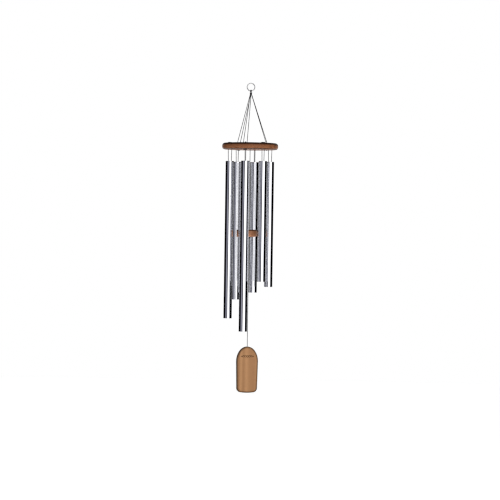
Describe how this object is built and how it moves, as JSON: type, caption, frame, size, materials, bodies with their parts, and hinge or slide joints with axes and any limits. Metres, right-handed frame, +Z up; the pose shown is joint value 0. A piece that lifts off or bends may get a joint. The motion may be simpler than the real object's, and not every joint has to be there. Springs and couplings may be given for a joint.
{
  "type": "wind chime",
  "caption": "Hanging wind chime: round wooden canopy on a steel ring, open metal tubes of stepped lengths, and a wooden striker and sail on the centre cord.",
  "frame": {"origin": "the point inside the top of the hanging ring where a hook bears", "axes": "+Z up, along the chime's length; +X to the right and +Y to the back, seen from the front, where the longest tube hangs"},
  "size_m": [0.165, 0.165, 0.9138],
  "materials": {
    "steel": "bright plated wire",
    "cord": "braided charcoal cord",
    "dark_wood": "cherry stain, satin varnish",
    "pale_wood": "natural oiled hardwood",
    "aluminium": "mirror polished"
  },
  "bodies": {
    "ring": {"hanging_ring": "steel"},
    "hitch": {"ring_hitch": "cord"},
    "canopy": {"gather_knot": "cord", "suspension_cord_1": "cord", "suspension_cord_2": "cord", "suspension_cord_3": "cord", "canopy": "dark_wood", "tube_cord_top_1": "cord", "tube_cord_top_2": "cord", "tube_cord_top_3": "cord", "tube_cord_top_4": "cord", "tube_cord_top_5": "cord", "tube_cord_top_6": "cord"},
    "tube_cord_1": {"tube_cord_1": "cord"},
    "tube_1": {"tube_1": "aluminium", "tube_pin_1": "steel"},
    "tube_cord_2": {"tube_cord_2": "cord"},
    "tube_2": {"tube_2": "aluminium", "tube_pin_2": "steel"},
    "tube_cord_3": {"tube_cord_3": "cord"},
    "tube_3": {"tube_3": "aluminium", "tube_pin_3": "steel"},
    "tube_cord_4": {"tube_cord_4": "cord"},
    "tube_4": {"tube_4": "aluminium", "tube_pin_4": "steel"},
    "tube_cord_5": {"tube_cord_5": "cord"},
    "tube_5": {"tube_5": "aluminium", "tube_pin_5": "steel"},
    "tube_cord_6": {"tube_cord_6": "cord"},
    "tube_6": {"tube_6": "aluminium", "tube_pin_6": "steel"},
    "centre_knot": {"centre_knot": "cord"},
    "striker": {"striker_cord": "cord", "striker": "pale_wood"},
    "striker_knot": {"striker_knot": "cord"},
    "sail_cord": {"sail_cord": "cord"},
    "sail_tail": {"sail_cord_end": "cord", "sail_knot": "cord"},
    "sail": {"sail": "pale_wood"}
  },
  "joints": [
    {"name": "chime_sway", "type": "hinge", "parent": "ring", "child": "hitch", "pos_m": [0, 0, -0.0098], "axis": [0, -1, 0], "range_deg": [-15, 15]},
    {"name": "chime_swing", "type": "hinge", "parent": "hitch", "child": "canopy", "pos_m": [0, 0, -0.021], "axis": [1, 0, 0], "range_deg": [-15, 15]},
    {"name": "tube_1_sway", "type": "hinge", "parent": "canopy", "child": "tube_cord_1", "pos_m": [-0.01361, -0.05895, -0.194], "axis": [0.225, 0.9744, 0], "range_deg": [-2.2, 2.2]},
    {"name": "tube_1_rock", "type": "hinge", "parent": "tube_cord_1", "child": "tube_1", "pos_m": [-0.01361, -0.05895, -0.341], "axis": [-0.9744, 0.225, 0], "range_deg": [-2, 2]},
    {"name": "tube_2_sway", "type": "hinge", "parent": "canopy", "child": "tube_cord_2", "pos_m": [-0.05918, -0.01258, -0.194], "axis": [-0.9781, -0.2079, 0], "range_deg": [-2.2, 2.2]},
    {"name": "tube_2_rock", "type": "hinge", "parent": "tube_cord_2", "child": "tube_2", "pos_m": [-0.05918, -0.01258, -0.33269], "axis": [-0.2079, 0.9781, 0], "range_deg": [-2, 2]},
    {"name": "tube_3_sway", "type": "hinge", "parent": "canopy", "child": "tube_cord_3", "pos_m": [-0.03807, 0.04702, -0.194], "axis": [-0.6293, 0.7771, 0], "range_deg": [-2.2, 2.2]},
    {"name": "tube_3_rock", "type": "hinge", "parent": "tube_cord_3", "child": "tube_3", "pos_m": [-0.03807, 0.04702, -0.32045], "axis": [0.7771, 0.6293, 0], "range_deg": [-2, 2]},
    {"name": "tube_4_sway", "type": "hinge", "parent": "canopy", "child": "tube_cord_4", "pos_m": [0.01361, 0.05895, -0.194], "axis": [0.225, 0.9744, 0], "range_deg": [-2.2, 2.2]},
    {"name": "tube_4_rock", "type": "hinge", "parent": "tube_cord_4", "child": "tube_4", "pos_m": [0.01361, 0.05895, -0.31576], "axis": [0.9744, -0.225, 0], "range_deg": [-2, 2]},
    {"name": "tube_5_sway", "type": "hinge", "parent": "canopy", "child": "tube_cord_5", "pos_m": [0.05918, 0.01258, -0.194], "axis": [-0.9781, -0.2079, 0], "range_deg": [-2.2, 2.2]},
    {"name": "tube_5_rock", "type": "hinge", "parent": "tube_cord_5", "child": "tube_5", "pos_m": [0.05918, 0.01258, -0.31172], "axis": [0.2079, -0.9781, 0], "range_deg": [-2, 2]},
    {"name": "tube_6_sway", "type": "hinge", "parent": "canopy", "child": "tube_cord_6", "pos_m": [0.03807, -0.04702, -0.194], "axis": [-0.6293, 0.7771, 0], "range_deg": [-2.2, 2.2]},
    {"name": "tube_6_rock", "type": "hinge", "parent": "tube_cord_6", "child": "tube_6", "pos_m": [0.03807, -0.04702, -0.3082], "axis": [-0.7771, -0.6293, 0], "range_deg": [-2, 2]},
    {"name": "striker_sway", "type": "hinge", "parent": "canopy", "child": "centre_knot", "pos_m": [0, 0, -0.179], "axis": [0, -1, 0], "range_deg": [-5.2, 5.2]},
    {"name": "striker_swing", "type": "hinge", "parent": "centre_knot", "child": "striker", "pos_m": [0, 0, -0.179], "axis": [1, 0, 0], "range_deg": [-5.2, 5.2]},
    {"name": "sail_sway", "type": "hinge", "parent": "striker", "child": "striker_knot", "pos_m": [0, 0, -0.454], "axis": [0, -1, 0], "range_deg": [-6, 6]},
    {"name": "sail_swing", "type": "hinge", "parent": "striker_knot", "child": "sail_cord", "pos_m": [0, 0, -0.454], "axis": [1, 0, 0], "range_deg": [-6, 6]},
    {"name": "sail_tilt", "type": "hinge", "parent": "sail_cord", "child": "sail_tail", "pos_m": [0, 0, -0.7748], "axis": [0.9659, 0.2588, 0], "range_deg": [-15, 15]},
    {"name": "sail_turn", "type": "hinge", "parent": "sail_tail", "child": "sail", "pos_m": [0, 0, -0.7748], "axis": [0, 0, 1], "range_deg": [-120, 120]}
  ]
}
